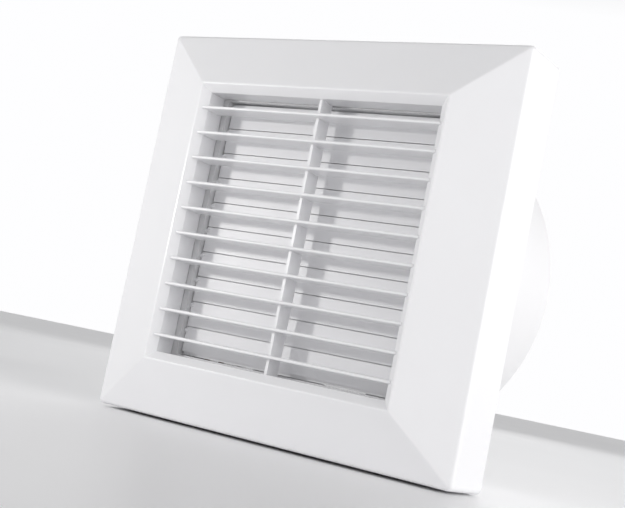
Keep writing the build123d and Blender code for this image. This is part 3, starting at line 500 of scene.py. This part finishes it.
finishes.update({
    "zinc_steel": metal("zinc_plate", (0.70, 0.71, 0.72), 0.22, 0.36,
                        lambda tree: noise(tree, 0.0012, 4.0), 3e-6),
    "bright_steel": metal("ground_steel", (0.62, 0.62, 0.63), 0.16, 0.26,
                          lambda tree: noise(tree, 0.0006, 2.0, (1, 1, 30)), 1.5e-6),
    "actuator_can": metal("drawn_aluminium", (0.80, 0.80, 0.81), 0.24, 0.34,
                          lambda tree: noise(tree, 0.0015, 2.0, (1, 1, 0.06)), 3e-6),
    "strap_steel": metal("rolled_sheet", (0.60, 0.60, 0.60), 0.28, 0.40,
                         lambda tree: noise(tree, 0.0015, 3.0, (0.08, 1, 1)), 3e-6),
    "brass": metal("turned_brass", (0.72, 0.52, 0.22), 0.22, 0.34,
                   lambda tree: bands(tree, "Z", 0.0004, 0.4), 3e-6),
    "cast_aluminium": metal("cast_skin", (0.62, 0.62, 0.63), 0.42, 0.58,
                            lambda tree: noise(tree, 0.0009, 5.0), 1.6e-5),
    "lamination_steel": metal("stacked_sheets", (0.26, 0.26, 0.28), 0.35, 0.50,
                              lambda tree: bands(tree, "Y", 0.0005, 0.1), 4e-5, 0.45),
    "rotor_metal": metal("turned_rotor", (0.42, 0.42, 0.44), 0.26, 0.38,
                         lambda tree: bands(tree, "Y", 0.0003, 0.3), 6e-6),
    "enamelled_copper": metal("enamelled_wire", (0.62, 0.24, 0.08), 0.20, 0.32,
                              lambda tree: noise(tree, 0.0009, 2.0), 4e-6, 0.25),
    "bronze": metal("sintered_bronze", (0.48, 0.31, 0.16), 0.45, 0.60,
                    lambda tree: noise(tree, 0.0003, 4.0), 8e-6),
})
print("all finishes", len(finishes))

# %% [markdown]
# ## Rubber
# Rubber is dark, matt and faintly dusty. Seen at a grazing angle it goes paler, which the
# shader's sheen gives. Foam is rubber too, with cells that show as pits in its surface.

# %% Rubber
def rubber(name, colour, cell, height):
    made, tree, shader = material(name, Sheen_Weight=0.25, Sheen_Roughness=0.5, IOR=1.5)
    colour = np.array(colour)
    field = noise(tree, cell, 4.0)
    tone(tree, shader, field, colour * 0.6, colour * 1.2)
    gloss(tree, shader, noise(tree, 0.006), 0.62, 0.85)
    relief(tree, shader, field, height)
    return made


finishes["black_rubber"] = rubber("matt_rubber", (0.035, 0.035, 0.038), 0.0012, 1.2e-5)
foam_finish = rubber("closed_cell_foam", (0.045, 0.045, 0.05), 0.0004, 9e-5)
print("rubber ready")

# %% [markdown]
# ## Give every part its finish
# The CAD record says which finish each part takes. A part's mesh stays as it is: we only put
# the material in its slots.

# %% Assign
def paint(piece, finish):
    piece.data.materials.clear()
    piece.data.materials.append(finish)


for part in frame["record"]["subparts"]:
    paint(frame["nodes"][part["node"]], finishes[part["material_slot"]])
for piece in zinc_pieces:
    paint(piece, finishes["zinc_steel"])
paint(foam, foam_finish)
paint(coils, finishes["enamelled_copper"])
paint(spring, finishes["bright_steel"])

# %% [markdown]
# ## Floor and light
# The floor is a wide pale disc just under the fan. The light is that of a small product studio.
# A lamp at the left, rather close, models the front and throws the shadow of the grille's
# upright rib onto the flaps. A large panel at the right makes the right side and its bevel the
# brightest faces. A third lamp lights the spigot from behind.

# %% Floor
floor_radius = 4.0
ring = np.linspace(0, 1, 24)[:, None] * floor_radius
turn = np.linspace(0, 2 * np.pi, 64, endpoint=False)[None, :]
floor_grid = np.stack([ring * np.cos(turn), ring * np.sin(turn),
                       cad_low.z - 0.0004 + 0 * ring * turn], axis=-1)
floor = piece_from_grids("floor", [floor_grid])
floor_finish, floor_tree, floor_shader = material("pale_floor", Specular_IOR_Level=0.6)
tone(floor_tree, floor_shader, noise(floor_tree, 0.3), (0.92, 0.92, 0.93), (0.94, 0.94, 0.95))
gloss(floor_tree, floor_shader, noise(floor_tree, 0.1), 0.34, 0.42)
paint(floor, floor_finish)
print("floor at", round(1000 * cad_low.z, 2), "mm")


# %% Lights
def panel(name, position, target, width, height, power, colour=(1, 1, 1)):
    """A rectangular lamp that faces a point."""
    light = bpy.data.objects.new(name, bpy.data.lights.new(name, "AREA"))
    light.data.shape = "RECTANGLE"
    light.data.size, light.data.size_y = width, height
    light.data.energy = power
    light.data.color = colour
    light.location = position
    look = np.array(target, float) - np.array(position, float)
    light.rotation_euler = Vector(look).to_track_quat("-Z", "Y").to_euler()
    light.visible_camera = False
    bpy.context.scene.collection.objects.link(light)
    return light


panel("key", (-0.27, -0.36, 0.045), (0, 0, 0), 0.035, 0.035, 0.48, (1.0, 0.99, 0.97))
panel("right_panel", (0.95, -0.10, 0.12), (0, 0, 0), 0.6, 0.8, 6.2, (1.0, 0.99, 0.98))
panel("back_panel", (-0.35, 1.0, 0.55), (0, 0, 0), 0.7, 0.6, 2.6)


# %% [markdown]
# The room's walls are white up to about a third of the way to straight overhead, and its
# ceiling is dim. So the light comes in low from all sides, and the fan stands before plain
# white whichever way one looks at it.

# %% Room
wall_height, ceiling_starts = 0.33, 0.55  # rise of a direction: 0 level, 1 straight up
wall_light, ceiling_light = 1.0, 0.28

world = bpy.data.worlds.new("white_room")
bpy.context.scene.world = world
world.use_nodes = True
room = world.node_tree
direction = room.nodes.new("ShaderNodeTexCoord")
rise = room.nodes.new("ShaderNodeSeparateXYZ")
fade = room.nodes.new("ShaderNodeMapRange")
fade.inputs["From Min"].default_value = wall_height
fade.inputs["From Max"].default_value = ceiling_starts
fade.inputs["To Min"].default_value = wall_light
fade.inputs["To Max"].default_value = ceiling_light
background = room.nodes["Background"]
background.inputs["Color"].default_value = (0.99, 0.99, 1.0, 1)
room.links.new(direction.outputs["Generated"], rise.inputs["Vector"])
room.links.new(rise.outputs["Z"], fade.inputs["Value"])
room.links.new(fade.outputs["Result"], background.inputs["Strength"])
bpy.context.scene.view_settings.view_transform = "Standard"
